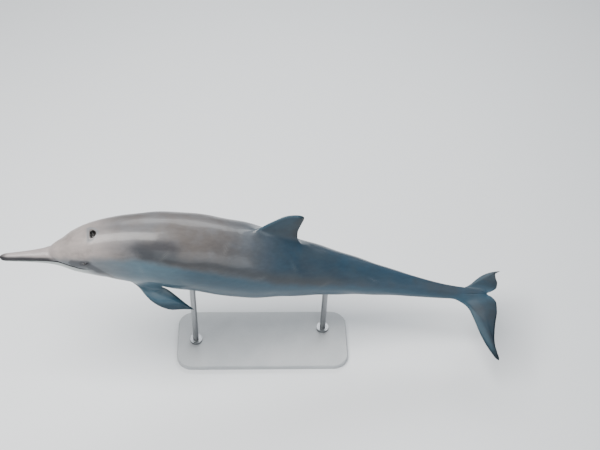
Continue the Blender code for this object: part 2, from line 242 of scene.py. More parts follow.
# fins are drawn out of the skin. edge: outline from front to rear as (along, out), fractions
# of the length, in the frame of the axis at "place"; tip: number of its point at the tip; lead:
# how far the outline stays on the body at front and rear; half: half thickness at root and
# tip; fillet: metres over which the skin turns into the fin; droop: degrees below level at
# root and tip; bodyShare: share of the strip left on the body; pace: shares of the rows and
# of the outline before the tip, of the rows at the tip, and of both after it; rootTurn: turn
# of the strip's middle column for the turn at which the body crosses the plane of the fin
fins = {
    "dorsal": {
        "place": 0.52, "column": halfCount, "strip": 30, "rows": (.422, .608), "lead": (.012, .007),
        "edge": ((.450, .086), (.465, .092), (.490, .120), (.515, .144), (.538, .150), (.548, .147),
                 (.550, .138), (.550, .113), (.557, .088), (.572, .073), (.590, .068)),
        "tip": 5, "half": (.0105, .0018), "fillet": 0.034, "droop": None, "bodyShare": 0.42,
        "pace": (.14, .075, .53, .86, .91),
    },
    "flipper": {
        "place": 0.26, "column": 24, "strip": 21, "pull": 24,
        "rootTurn": ((-90, -90), (90, 90)), "rows": (.239, .313), "lead": (.004, .005),
        "edge": ((.250, .007), (.262, .016), (.275, .032), (.290, .046), (.308, .056), (.328, .061),
                 (.350, .060), (.370, .061), (.350, .046), (.328, .028), (.315, .019)),
        "tip": 7, "half": (.0072, .0016), "fillet": 0.018, "droop": (40.0, 40.0), "bodyShare": 0.34,
        "pace": (.25, .20, .61, .85, .86),
    },
    "fluke": {
        "place": 1.0, "column": 54, "strip": 30, "pull": 54,
        "rootTurn": ((-90, -34), (-60, -32), (-40, -27), (-25, -20), (-12, -11), (40, 40)),
        "rows": (.920, .9999), "lead": (.005, .0008),
        "edge": ((.932, .013), (.945, .019), (.960, .031), (.973, .057), (.984, .084), (.995, .106),
                 (1.007, .125), (1.018, .139), (1.023, .142), (1.023, .139), (1.016, .115),
                 (1.014, .095), (1.016, .068), (1.020, .040), (1.019, .021), (1.012, .010), (1.004, .004)),
        "tip": 8, "half": (.0062, .0013), "fillet": 0.020, "droop": (14.0, 46.0), "bodyShare": 0.30,
        "pace": (.24, .085, .54, .88, .94),
    },
}
flipperRoot = (0.55, -0.75)   # across and up, as shares of the body's half sizes
finShape = {
    "fullness": 2.1, "nosePower": .5, "tailPower": .8,   # wing section
    "taperPower": .8,                     # how soon the fin thins outwards
    "tipRows": .04, "tipRun": .022,       # shares of rows and outline on each side of the tip
    "levelStart": .85,                    # how level the skin leaves the body
    "evenFrom": .001, "evenFull": .007,   # metres from the edge where distances are evened
    "fullChord": .022,                    # metres of chord that let the fin be fully thick
    "edgeHalf": .0009, "edgeReach": .0015,   # least half thickness, and metres inwards to it
    "heldBack": .6, "leastFade": .02,     # how far the widening at the root is held back
    "lineEvery": 3,                       # points of the outline taken for distances
}


# frame of a fin: where it starts, its directions along the body, out to its side and above
def finFrame(fin, side):
    origin, along, left, above = axisFrame(fin["place"])
    outward = left * side
    if fin is fins["flipper"]:
        _, belly, half = bodySizes(np.array(fin["place"]))
        origin = origin + outward * half * flipperRoot[0] + above * belly * flipperRoot[1]
    return origin, along, outward, above


# point and upper normal of a fin's middle surface: flat for an even droop, else an arc that
# bends down in step with the distance out
def finSurface(fin, side, a, b):
    origin, along, outward, above = finFrame(fin, side)
    start = origin + (a - fin["place"])[..., None] * length * along
    if fin["droop"] is None:
        return start + b[..., None] * length * above, np.broadcast_to(outward, a.shape + (3,))
    rootDroop, tipDroop = np.radians(fin["droop"])
    span = max(edge[1] for edge in fin["edge"])
    rate = (tipDroop - rootDroop) / span
    droop = rootDroop + rate * b
    if rate:
        sideways = (np.sin(droop) - math.sin(rootDroop)) / rate
        down = (math.cos(rootDroop) - np.cos(droop)) / rate
    else:
        sideways, down = b * math.cos(rootDroop), b * math.sin(rootDroop)
    middle = start + (sideways[..., None] * outward - down[..., None] * above) * length
    normal = np.sin(droop)[..., None] * outward + np.cos(droop)[..., None] * above
    return middle, normal


# turn at which the body's surface crosses the plane of a fin, for each place
def crossingTurn(fin, place):
    origin, _, outward, above = finFrame(fin, 1)
    droop = math.radians(fin["droop"][0])
    normal = math.sin(droop) * outward + math.cos(droop) * above
    settings = {"lowest": -88, "highest": 40, "tries": 257}
    tries = np.linspace(settings["lowest"], settings["highest"], settings["tries"])
    surface = bodyPoint(np.repeat(place[:, None], len(tries), axis=1), tries[None, :])
    height = (surface - origin) @ normal
    first = np.argmax(height > 0, axis=1)
    rowsHere = np.arange(len(place))
    before, after = height[rowsHere, first - 1], height[rowsHere, first]
    return tries[first - 1] + (tries[1] - tries[0]) * before / (before - after)


# the middle columns of the strips follow the fins' roots
rootHold = {"over": .01, "last": .9965, "far": .05, "near": .005, "farBehind": .06}
for name in ("flipper", "fluke"):
    fin = fins[name]
    start, end = fin["rows"]
    held = np.clip(places, start - rootHold["over"], min(end + rootHold["over"], rootHold["last"]))
    comeIn = ease(places, start - rootHold["far"], start - rootHold["near"])
    goOut = ease(places, end + rootHold["near"], end + rootHold["farBehind"])
    pullColumn(fin["column"], fin["pull"], curve(fin["rootTurn"], crossingTurn(fin, held)),
               comeIn * (1 - goOut))


# shortest distance from points to a line of short straight steps
def lineDistance(a, b, line):
    start, move = line[:-1], np.diff(line, axis=0)
    relA, relB = a[..., None] - start[:, 0], b[..., None] - start[:, 1]
    share = np.clip((relA * move[:, 0] + relB * move[:, 1]) / (move**2).sum(axis=1), 0, 1)
    return np.sqrt((relA - share * move[:, 0])**2 + (relB - share * move[:, 1])**2).min(axis=-1)


fullTurn = np.concatenate([halfTurn, 180 - halfTurn[:, -2:0:-1]], axis=1)
points = bodyPoint(np.repeat(places[:, None], columnCount, axis=1), fullTurn)
farAway = .2                                      # metres
finHeight = np.zeros((rowCount, columnCount))     # metres out from the body
leadGap = np.full_like(finHeight, farAway)        # metres from a fin's front edge
trailGap = np.full_like(finHeight, farAway)       # metres from a fin's rear edge
finKind = np.zeros_like(finHeight)


# outline as many even steps, each averaged with its neighbours so that no knot shows; beyond
# the ends the line goes on turned about its end point
def evenOutline(run, knots):
    settings = {"steps": 400, "reach": 4, "rounds": 2}
    runs = np.linspace(0, 1, settings["steps"] + 1)
    drawn = smoothCurve(run, knots, runs)
    reach = settings["reach"]
    for _ in range(settings["rounds"]):
        before = 2 * drawn[0] - drawn[reach:0:-1]
        after = 2 * drawn[-1] - drawn[-2:-2 - reach:-1]
        longer = np.vstack([before, drawn, after])
        drawn = sum(longer[k:k + len(runs)] for k in range(2 * reach + 1)) / (2 * reach + 1)
    return runs, drawn


# net between the root and the outline of a fin whose lines never cross: each inner point is
# moved again and again to the mean of its four neighbours, weighted by the squared spacing
# of the other direction, less the twist between the two directions
def fanNet(root, outline, climb):
    settings = {"levels": 25, "rounds": 900}
    levels = np.linspace(0, 1, settings["levels"])
    net = root[:, None, :] + levels[None, :, None] * (outline - root)[:, None, :]
    for _ in range(settings["rounds"]):
        rowStep = (net[2:, 1:-1] - net[:-2, 1:-1]) / 2
        levelStep = (net[1:-1, 2:] - net[1:-1, :-2]) / 2
        rowWeight = (levelStep**2).sum(axis=-1, keepdims=True)
        levelWeight = (rowStep**2).sum(axis=-1, keepdims=True)
        twist = (net[2:, 2:] - net[2:, :-2] - net[:-2, 2:] + net[:-2, :-2]) / 4
        total = (rowWeight * (net[2:, 1:-1] + net[:-2, 1:-1])
                 + levelWeight * (net[1:-1, 2:] + net[1:-1, :-2])
                 - 2 * (rowStep * levelStep).sum(axis=-1, keepdims=True) * twist)
        net[1:-1, 1:-1] = total / (2 * (rowWeight + levelWeight) + 1e-14)
    return [smoothCurve(levels, net[:, :, k].T, climb).T for k in (0, 1)]


# distances averaged with their neighbours away from the edges, so that no crease shows where
# the nearest point of the edge changes
def evenMiddle(gaps, inner):
    evened, rounds = gaps.copy(), 70
    for _ in range(rounds):
        around = (evened[2:, 1:-1] + evened[:-2, 1:-1] + evened[1:-1, 2:] + evened[1:-1, :-2]) / 4
        evened[1:-1, 1:-1] += inner[1:-1, 1:-1] * (around - evened[1:-1, 1:-1])
    return evened


# a strip of the grid is drawn out along the lines of the net, from the root on the body to the
# outline; sideways distance from the middle surface = the grid's own distance, fading to 0
# as the skin climbs the fillet, plus the half thickness there; half thickness = a wing
# section (a power of the chord share times a power of the rest) times a taper outwards
def drawOutFin(kind, fin, side):
    start, end = fin["rows"]
    rows = np.flatnonzero((places > start) & (places < end))
    place = places[rows]
    strip, upright = fin["strip"], fin["droop"] is None
    steps = np.arange(-strip, 1 if upright else strip + 1)
    half = fin["column"] + steps
    columns = half if side > 0 else (columnCount - half) % columnCount
    crest = halfTurn[rows, fin["column"]]
    inward = 1 - np.abs(steps) / strip

    def surface(where, turn):
        return bodyPoint(where, turn if side > 0 else 180 - turn)

    speed = np.linalg.norm(surface(place, crest + 1) - surface(place, crest - 1), axis=-1) / 2

    def inFinFrame(spots):
        origin, along, outward, out = finFrame(fin, side)
        if not upright:
            droop = math.radians(fin["droop"][0])
            out = math.cos(droop) * outward - math.sin(droop) * out
        rel = (spots - origin) / length
        return np.stack([rel @ along + fin["place"], rel @ out], axis=-1)

    # outline: on the body at both ends, so that the fin grows out of the back without a step
    endPlaces = np.array([start, start + fin["lead"][0], end - fin["lead"][1], end])
    endTurns = np.interp(endPlaces, places, halfTurn[:, fin["column"]])
    ends = inFinFrame(surface(endPlaces, endTurns))
    knots = np.vstack([ends[:2], np.array(fin["edge"]), ends[2:]])
    run = np.concatenate([[0], np.cumsum(np.linalg.norm(np.diff(knots, axis=0), axis=1))])
    run /= run[-1]
    tipRun = run[fin["tip"] + 2]
    rowA, runA, tipRow, rowB, runB = fin["pace"]
    nearRow, nearRun = finShape["tipRows"], finShape["tipRun"]
    share = smoothCurve((0, rowA, tipRow - nearRow, tipRow, tipRow + nearRow, rowB, 1),
                        (0, runA, tipRun - nearRun, tipRun, tipRun + nearRun, runB, 1),
                        (place - place[0]) / (place[-1] - place[0]))
    runs, drawn = evenOutline(run, knots)
    outline = np.stack([np.interp(share, runs, drawn[:, k]) for k in (0, 1)], axis=-1)
    tipNumber = int(round(tipRun * (len(runs) - 1)))
    every = finShape["lineEvery"]
    leadLine, trailLine = drawn[:tipNumber + 1:every], drawn[tipNumber::every]

    rootLine = inFinFrame(surface(place, crest))
    rootA, rootB = rootLine.T
    climb = np.clip((inward - fin["bodyShare"]) / (1 - fin["bodyShare"]), 0, 1)
    climb = climb + finShape["levelStart"] * (climb**2 * (3 - 2 * climb) - climb)
    a, b = fanNet(rootLine, outline, climb)
    lead = lineDistance(a, b, leadLine) * length
    trail = lineDistance(a, b, trailLine) * length
    inner = ease(np.minimum(lead, trail), finShape["evenFrom"], finShape["evenFull"])
    lead, trail = evenMiddle(lead, inner), evenMiddle(trail, inner)
    chordShare = lead / np.maximum(lead + trail, 1e-6)
    rootThick, tipThick = fin["half"]
    outShare = np.clip((b - rootB.min()) / (knots[:, 1].max() - rootB.min()), 0, 1)
    section = (finShape["fullness"] * chordShare**finShape["nosePower"]
               * (1 - chordShare)**finShape["tailPower"])
    narrow = np.sqrt(1 - (1 - np.clip((lead + trail) / finShape["fullChord"], 0, 1))**2)
    taper = rootThick + (tipThick - rootThick) * outShare**finShape["taperPower"]
    edgeShare = np.clip(np.minimum(lead, trail) / finShape["edgeReach"], 0, 1)
    thick = np.maximum(length * taper * section * narrow, finShape["edgeHalf"] * np.sqrt(edgeShare))
    thick[:, steps == 0] = 0

    # every point slides along the body to the place its line has reached, then rises from there
    order = np.argsort(rootA)
    baseA = np.clip(a, rootA.min(), rootA.max())
    baseB = np.interp(baseA, rootA[order], rootB[order])
    basePlace = np.interp(baseA, rootA[order], place[order])
    baseCrest = np.interp(basePlace, place, crest)
    baseSpeed = np.interp(basePlace, place, speed)
    rise = np.where(climb > 0, np.maximum(b - baseB, 0), 0) * length
    fade = (1 - np.clip(rise / fin["fillet"], 0, 1))**2
    gridTurn = np.abs(halfTurn[rows][:, half] - crest[:, None])
    sideTurn = gridTurn * fade + thick * ease(inward, 0, fin["bodyShare"]) / baseSpeed
    edgeTurn = np.where(steps <= 0, gridTurn[:, :1], gridTurn[:, -1:])
    limit = edgeTurn * (1 - finShape["heldBack"] * inward)
    sideTurn = np.minimum(sideTurn, limit / np.maximum(fade, finShape["leastFade"]))
    sign = np.full(len(steps), -1.0) if upright else np.sign(steps)
    onBody = surface(basePlace, baseCrest + sign * sideTurn)
    middle, normal = finSurface(fin, side, a, b)
    baseMiddle, _ = finSurface(fin, side, baseA, baseB)
    missed = (surface(basePlace, baseCrest) - baseMiddle) * ((1 - climb)**2)[None, :, None]
    low = onBody + middle - baseMiddle
    facing = 1.0 if upright else sign[None, :, None]
    high = middle + missed + normal * facing * (sideTurn * baseSpeed)[..., None]
    mix = ease(rise, 0, fin["fillet"])[..., None]
    for whole, drawn in ((points, low * (1 - mix) + high * mix), (finHeight, rise), (leadGap, lead),
                         (trailGap, trail), (finKind, kind)):
        whole[np.ix_(rows, columns)] = drawn


finKinds = {"dorsal": 1, "flipper": 2, "fluke": 3}
for name, kind in finKinds.items():
    for side in (1, -1):
        drawOutFin(kind, fins[name], side)
print("skin grid and fins", points.shape)

folded = np.where(fullTurn > 90, 180 - fullTurn, fullTurn)      # -90 belly to 90 back, both sides
placeField = np.repeat(places[:, None], columnCount, axis=1)


# outward direction at each point: the cross product of the steps along rows and columns
def gridNormals(spots):
    aroundStep = np.roll(spots, -1, axis=1) - np.roll(spots, 1, axis=1)
    along = np.gradient(spots, axis=0)
    normal = np.cross(along, aroundStep)
    return normal / np.maximum(np.linalg.norm(normal, axis=-1, keepdims=True), 1e-12)


backSize, bellySize, halfSize = bodySizes(placeField)
girth = np.radians(1) * (backSize + bellySize + 2 * halfSize) / 4       # metres to a degree


# distances in metres along and round the body from a spot that both sides have
def spotDistance(place, turn):
    return (placeField - place) * length, (folded - turn) * girth


relief = np.zeros_like(finHeight)


# 1 on a stretch of the body, easing in over the first pair of places and out over the second
def stretchOf(comeIn, goOut):
    return ease(placeField, *comeIn) * (1 - ease(placeField, *goOut))


# mouth: a groove along the line, with the lips swelling a little on both sides of it
lipGap = (folded - mouthTurn(placeField)) * girth
lipFade = stretchOf(mouth["startFade"], mouth["endFade"])
relief -= mouth["depth"] * bell(lipGap, mouth["width"]) * lipFade
relief += mouth["lipHeight"] * bell(np.abs(lipGap) - mouth["lipAt"], mouth["lipWidth"]) * lipFade

# corner of the mouth: a short groove that turns up behind it and a swelling behind that, as
# height, metres behind the corner, half length, metres above it, half width and lean
cornerShapes = {
    "groove": (-.0016, .002, .0050, .0015, .0020, .4), "swelling": (.0012, .010, .0050, 0, .0100, 0),
}
dx, dy = spotDistance(mouth["corner"], mouthTurn(np.array(mouth["end"])))
for height, behind, halfLong, over, halfWide, lean in cornerShapes.values():
    relief += height * bell(dx - behind, halfLong) * bell(dy - over - dx * lean, halfWide)

# crease between beak and forehead, foremost on top and running back and down towards the
# mouth, with a swelling behind it
crease = {
    "place": .0935, "sweep": .020, "power": 1.5, "fade": (-6, 22), "depth": .0034, "width": .0062,
    "swelling": .0020, "behind": .014, "swellingWidth": .0140,
}
upShare = np.sin(np.radians(np.clip(folded, 0, 90)))
creasePlace = crease["place"] + crease["sweep"] * (1 - upShare)**crease["power"]
creaseFade = ease(folded, *crease["fade"])
for height, behind, width in ((-crease["depth"], 0, crease["width"]),
                              (crease["swelling"], crease["behind"], crease["swellingWidth"])):
    relief += height * bell((placeField - creasePlace - behind) * length, width) * creaseFade

# place, turn, height, half length along the body and half width round it
softShapes = {
    "hollowBeforeEye": (.150, 16, -.0022, .016, .012), "brow": (.163, 26, .0022, .022, .010),
    "cheek": (.182, -10, .0024, .030, .020), "earPit": (.186, 6, -.0009, .0012, .0012),
}
for place, turn, height, halfLong, halfWide in softShapes.values():
    dx, dy = spotDistance(place, turn)
    relief += height * bell(dx, halfLong) * bell(dy, halfWide)

# neck crease, which leans back as it rises and fades out above the flank
neck = {"place": .205, "lean": .00020, "depth": .0014, "width": .014, "fade": (20, 60)}
neckGap = (placeField - neck["place"] - neck["lean"] * folded) * length
relief -= neck["depth"] * bell(neckGap, neck["width"]) * (1 - ease(folded, *neck["fade"]))

# eye: the lids follow the ball, stand out of it by their thickness, and part in an almond
eye = {
    "place": 0.163, "turn": 13.0, "radius": 0.0125, "bulge": 0.0030,
    "open": (0.0094, 0.0042),    # half length and half height of the gap between the lids
    "tilt": -8.0, "well": 0.0030, "lid": 0.0011, "lidBlend": 0.0012, "lidReach": .03,
    "cornerPower": 1.7, "lidEdge": (.86, 1.06), "mound": .0018, "moundWidth": .024,
    # height, size as a multiple of the gap between the lids, width and reach in metres
    "folds": {"rim": (.0005, 1.22, .13, .03), "crease": (-.0008, 1.72, .20, .04),
              "upperCrease": (-.0006, 2.35, .24, .04)},
    "upperOnly": (-.002, .004),  # metres above the middle where the upper crease sets in
}
ex, ey = spotDistance(eye["place"], eye["turn"])
tilt = math.radians(eye["tilt"])
ex, ey = ex * math.cos(tilt) - ey * math.sin(tilt), ex * math.sin(tilt) + ey * math.cos(tilt)
reach = np.sqrt(ex**2 + ey**2)
ballTop = np.sqrt(np.maximum(eye["radius"]**2 - reach**2, 0)) - (eye["radius"] - eye["bulge"])
# the soft maximum of nothing and the ball plus a lid: the logarithm of a sum of powers of e
lidTop = np.log(np.exp((ballTop + eye["lid"]) / eye["lidBlend"]) + 1) * eye["lidBlend"]
lidTop = np.where(reach < eye["lidReach"], lidTop, 0)
almond = np.sqrt((ex / eye["open"][0])**2 + (np.abs(ey) / eye["open"][1])**eye["cornerPower"])
inside = 1 - ease(almond, *eye["lidEdge"])
relief += lidTop * (1 - inside) + (ballTop - eye["well"]) * inside
for name, (height, size, width, limit) in eye["folds"].items():
    share = ease(ey, *eye["upperOnly"]) if name == "upperCrease" else 1
    relief += height * bell(almond - size, width) * (reach < limit) * share
relief += eye["mound"] * bell(reach, eye["moundWidth"])

# blowhole: an open crescent whose horns point forward, a ridge between its two halves, a rim
# and a shallow hollow round it all, given as depth, metres forward, half length and half width
blowhole = {
    "place": 0.1805, "turn": 80.0, "half": (0.0092, 0.0140), "curl": 0.0030, "depth": 0.0095,
    "septum": 0.0026, "septumShare": .35, "edge": (.70, 1.08), "rim": 0.0016, "rimAt": 1.35,
    "rimWidth": .34, "hollow": (.0016, .004, .030, .034),
}
halfLong, halfWide = blowhole["half"]
by = (fullTurn - blowhole["turn"]) * girth
bx = (placeField - blowhole["place"]) * length + blowhole["curl"] * ((by / halfWide)**2 - .5)
holeShape = np.sqrt((bx / halfLong)**2 + (by / halfWide)**2)
openHole = 1 - ease(holeShape, *blowhole["edge"])
relief -= blowhole["depth"] * openHole * (1 - blowhole["septumShare"] * bell(by, blowhole["septum"]))
relief += blowhole["rim"] * bell(holeShape - blowhole["rimAt"], blowhole["rimWidth"])
depth, forward, halfLong, halfWide = blowhole["hollow"]
relief -= depth * bell(bx + forward, halfLong) * bell(by, halfWide) * (1 - openHole)

# slits along the middle line under the tail: place, depth and half length
slits = {"width": 1.6, "rows": ((.660, .0030, .055), (.712, .0026, .014))}
for place, depth, halfLong in slits["rows"]:
    gap = (placeField - place) * length
    relief -= depth * bell(folded + 90, slits["width"]) * bell(gap, halfLong)

# shallow waves of muscle and blubber on the flank, and the hollow beside the tail's ridge
flank = {"run": ((.2, .3), (.72, .9)), "height": .0011, "along": 74, "slant": .045, "round": .075,
         "shift": 1}
waves = (np.sin(placeField * flank["along"] + folded * flank["slant"])
         * np.sin(folded * flank["round"] + flank["shift"]))
relief += flank["height"] * waves * stretchOf(*flank["run"])
tailHollow = {"run": ((.66, .82), (.93, .97)), "depth": .0018, "turn": 58, "width": 16}
relief -= (tailHollow["depth"] * stretchOf(*tailHollow["run"])
           * bell(np.abs(folded) - tailHollow["turn"], tailHollow["width"]))

reliefEnd = .006    # metres up a fin where the relief has faded out
relief *= 1 - ease(finHeight, 0, reliefEnd)
points += gridNormals(points) * relief[..., None]
print("relief", round(relief.min(), 4), round(relief.max(), 4))

# lines between the three tones, as turns at places along the body
marking = {
    "cape": ((0, 6), (.09, 8), (.13, 20), (.18, 22), (.25, 24), (.33, 21), (.42, 18), (.50, 13),
             (.58, 9), (.68, 8), (.80, 12), (.92, 10), (1, 10)),
    "belly": ((0, -20), (.10, -20), (.16, -24), (.20, -44), (.24, -54), (.30, -50), (.42, -50), (.55, -54),
              (.65, -64), (.72, -76), (.80, -96), (1, -120)),
    "stripe": ((.12, 12), (.163, 10), (.185, -4), (.21, -24), (.235, -44), (.26, -54), (.30, -54)),
    "stripeRun": ((.10, .14), (.25, .30)), "stripeAway": .1,
}
capeGap = (folded - curve(marking["cape"], placeField)) * girth
bellyGap = (folded - curve(marking["belly"], placeField)) * girth
stripeGap = np.abs(folded - curve(marking["stripe"], placeField)) * girth
stripeGap += (1 - stretchOf(*marking["stripeRun"])) * marking["stripeAway"]

noseTip = axisFrame(np.array(0.0))[0]
tailTip = axisFrame(np.array(1.0))[0]
vertices = np.vstack([points.reshape(-1, 3), noseTip, tailTip])
skin = linkPiece("dolphinSkin", vertices, closedFaces(rowCount, columnCount))
for name, values in (("place", placeField), ("turn", folded), ("finHeight", finHeight),
                     ("leadGap", leadGap), ("trailGap", trailGap), ("finKind", finKind),
                     ("lipGap", lipGap), ("lipFade", lipFade), ("eyeGap", almond),
                     ("blowGap", holeShape), ("capeGap", capeGap), ("bellyGap", bellyGap),
                     ("stripeGap", stripeGap)):
    addField(skin, name, np.concatenate([values.ravel(), [values[0].mean(), values[-1].mean()]]))


# a ball whose pole looks outwards, with the clear front raised as a bell round the pole
def eyePiece(name, side):
    settings = {"rows": 48, "columns": 64, "crowding": .405, "cornea": 0.0009, "corneaWidth": 26.0,
                "clear": .0004}
    place, turn = np.array(eye["place"]), np.array(eye["turn"] if side > 0 else 180 - eye["turn"])
    surface = bodyPoint(place, turn)
    _, along, left, above = axisFrame(place)
    outward = left * math.cos(math.radians(turn)) + above * math.sin(math.radians(turn))
    centre = surface - outward * (eye["radius"] - eye["bulge"])
    upward = np.cross(along, outward) * -side
    polar = np.linspace(0, math.pi, settings["rows"] + 2)[1:-1]
    polar = polar - settings["crowding"] * np.sin(polar)
    around = np.arange(settings["columns"]) * 2 * math.pi / settings["columns"]
    ball = eye["radius"] - settings["clear"]
    radius = ball + settings["cornea"] * bell(np.degrees(polar), settings["corneaWidth"])
    ring = radius * np.sin(polar)
    spots = (centre + (radius * np.cos(polar))[:, None, None] * outward
             + ring[:, None, None] * (np.cos(around)[None, :, None] * along
                                      + np.sin(around)[None, :, None] * upward))
    poles = centre + outward * (ball + settings["cornea"]), centre - outward * ball
    vertices = np.vstack([spots.reshape(-1, 3), *poles])
    piece = linkPiece(name, vertices, closedFaces(settings["rows"], settings["columns"]))
    degrees = np.degrees(polar)[:, None]
    for name, values, atPoles in (("polar", degrees * np.ones_like(around), (0, 180)),
                                  ("irisAlong", degrees * np.cos(around), (0, 0)),
                                  ("irisUp", degrees * np.sin(around), (0, 0))):
        addField(piece, name, np.concatenate([values.ravel(), atPoles]))
    return piece


eyes = {"left": eyePiece("eyeLeft", 1), "right": eyePiece("eyeRight", -1)}
# faces point outwards when the volume they enclose counts as positive
for piece in (skin, *eyes.values()):
    shell = bmesh.new()
    shell.from_mesh(piece.data)
    if shell.calc_volume(signed=True) < 0:
        piece.data.flip_normals()
    shell.free()
print("eyes made")


# one value in a shader: arithmetic on it adds the Math nodes
class Wire:
    def __init__(self, socket):
        self.socket = socket
        self.tree = socket.id_data

    def maths(self, operation, first, second=0.0):
        return addNode(self.tree, "ShaderNodeMath", {"operation": operation}, {0: first, 1: second})

    def __add__(self, other):
        return self.maths("ADD", self, other)

    def __radd__(self, other):
        return self.maths("ADD", other, self)

    def __sub__(self, other):
        return self.maths("SUBTRACT", self, other)

    def __rsub__(self, other):
        return self.maths("SUBTRACT", other, self)

    def __mul__(self, other):
        return self.maths("MULTIPLY", self, other)

    def __rmul__(self, other):
        return self.maths("MULTIPLY", other, self)

    def __truediv__(self, other):
        return self.maths("DIVIDE", self, other)

    def __rtruediv__(self, other):
        return self.maths("DIVIDE", other, self)

    def __abs__(self):
        return self.maths("ABSOLUTE", self)


# adds any node: its settings first, then the values or links of its sockets
def addNode(tree, kind, settings, inputs, output=0):
    node = tree.nodes.new(kind)
    for name, value in settings.items():
        setattr(node, name, value)
    for key, value in inputs.items():
        if isinstance(value, Wire):
            tree.links.new(value.socket, node.inputs[key])
        else:
            node.inputs[key].default_value = value
    return Wire(node.outputs[output])


def newMaterial(name, constants):
    material = bpy.data.materials.new(name)
    material.use_nodes = True
    tree = material.node_tree
    shader = tree.nodes["Principled BSDF"]
    for key, value in constants.items():
        shader.inputs[key].default_value = value
    return material, tree, shader


def field(tree, name):
    return addNode(tree, "ShaderNodeAttribute", {"attribute_name": name}, {}, "Fac")


def objectSpot(tree):
    return addNode(tree, "ShaderNodeTexCoord", {}, {}, "Object")


def noise(spot, scale, detail=3.0, rough=.5):
    return addNode(spot.tree, "ShaderNodeTexNoise", {},
                   {"Vector": spot, "Scale": scale, "Detail": detail, "Roughness": rough})


# rises from 0 to 1 between two values, level at both ends
def mask(value, low, high):
    return addNode(value.tree, "ShaderNodeMapRange", {"interpolation_type": "SMOOTHSTEP"},
                   {"Value": value, "From Min": low, "From Max": high, "To Min": 0.0, "To Max": 1.0})


# a bell of height 1 round a value: e to the minus square of the distance over the width
def bellField(value, centre, width):
    share = (value - centre) / width
    return share.maths("POWER", math.e, share * share * -1)


def blendColour(share, first, second, kind="MIX"):
    tree = next(value.tree for value in (share, first, second) if isinstance(value, Wire))
    return addNode(tree, "ShaderNodeMix", {"data_type": "RGBA", "blend_type": kind},
                   {0: share, 6: first, 7: second}, 2)


# a screen colour of 0 to 255 in the linear light that shaders work with
def linear(red, green, blue):
    shares = np.array((red, green, blue)) / 255
    light = np.where(shares <= .04045, shares / 12.92, ((shares + .055) / 1.055)**2.4)
    return (*light.tolist(), 1.0)


def stretched(spot, scale):
    return addNode(spot.tree, "ShaderNodeMapping", {}, {"Vector": spot, "Scale": scale})


def bumpOf(height, strength, distance):
    return addNode(height.tree, "ShaderNodeBump", {},
                   {"Height": height, "Strength": strength, "Distance": distance})


# links values to the sockets of a shader
def feed(shader, wires):
    for key, wire in wires.items():
        wire.tree.links.new(wire.socket, shader.inputs[key])


skinTone = {
    # the pale head tone, with its cloudy darker patches, is a painted sheen, and the pale top of the beak
    # a painted reflection
    "head": linear(156, 148, 145), "headDark": linear(112, 105, 103), "beakTopReflection": linear(156, 148, 148),
    "back": linear(101, 101, 104), "backBrown": linear(90, 85, 83), "backDark": linear(52, 53, 58),
    "rear": linear(43, 66, 83), "rearBrown": linear(49, 62, 73),
    "side": linear(77, 101, 115), "sideMid": linear(43, 71, 87), "sideRear": linear(43, 74, 92),
    "belly": linear(205, 208, 206),
    "fin": linear(20, 40, 53), "finLight": linear(28, 53, 68), "finPale": linear(70, 95, 109),
    "finDark": linear(16, 29, 38), "flipper": linear(58, 91, 109),
    # the near-black of the blowhole's inside is painted shade
    "lip": linear(26, 28, 34), "jaw": linear(186, 192, 190), "holeShade": linear(8, 8, 9),
    "cheek": linear(112, 113, 116), "hem": linear(48, 52, 57), "patch": linear(48, 48, 54),
    "scar": linear(172, 172, 170), "mottleDark": linear(88, 88, 90), "mottleLight": linear(176, 174, 170),
}


# faint old rake marks: short groups of fine lines side by side, each group given as its place
# along the body, its turn and its lean in radians
rakes = {
    "groups": ((.300, 34, .9), (.345, -6, -.5), (.405, 52, 1.3), (.490, 20, .3), (.560, 44, -.8),
               (.640, 14, .6), (.745, 40, -.4), (.262, 8, -1.1)),
    "halfLength": .013, "halfWidth": .0045, "spacing": .0024, "waver": .004,
    "lineEdge": (.72, .98), "turnShare": .0011,   # share of the body's length to a degree of turn
}


# u runs along the lines and v across them; a cosine of v makes the lines, bells end them
def rakeMarks(place, turn, spot):
    marks = None
    waver = (noise(spot, 22.0, 2.0) - .5) * rakes["waver"]
    for atPlace, atTurn, lean in rakes["groups"]:
        alongBody, roundBody = place - atPlace, (turn - atTurn) * rakes["turnShare"]
        u = alongBody * math.cos(lean) + roundBody * math.sin(lean)
        v = roundBody * math.cos(lean) - alongBody * math.sin(lean) + waver
        phase = v * (2 * math.pi / rakes["spacing"])
        wave = phase.maths("COSINE", phase)
        group = (mask(wave, *rakes["lineEdge"]) * bellField(u, 0, rakes["halfLength"])
                 * bellField(v, 0, rakes["halfWidth"]))
        marks = group if marks is None else marks + group
    return marks


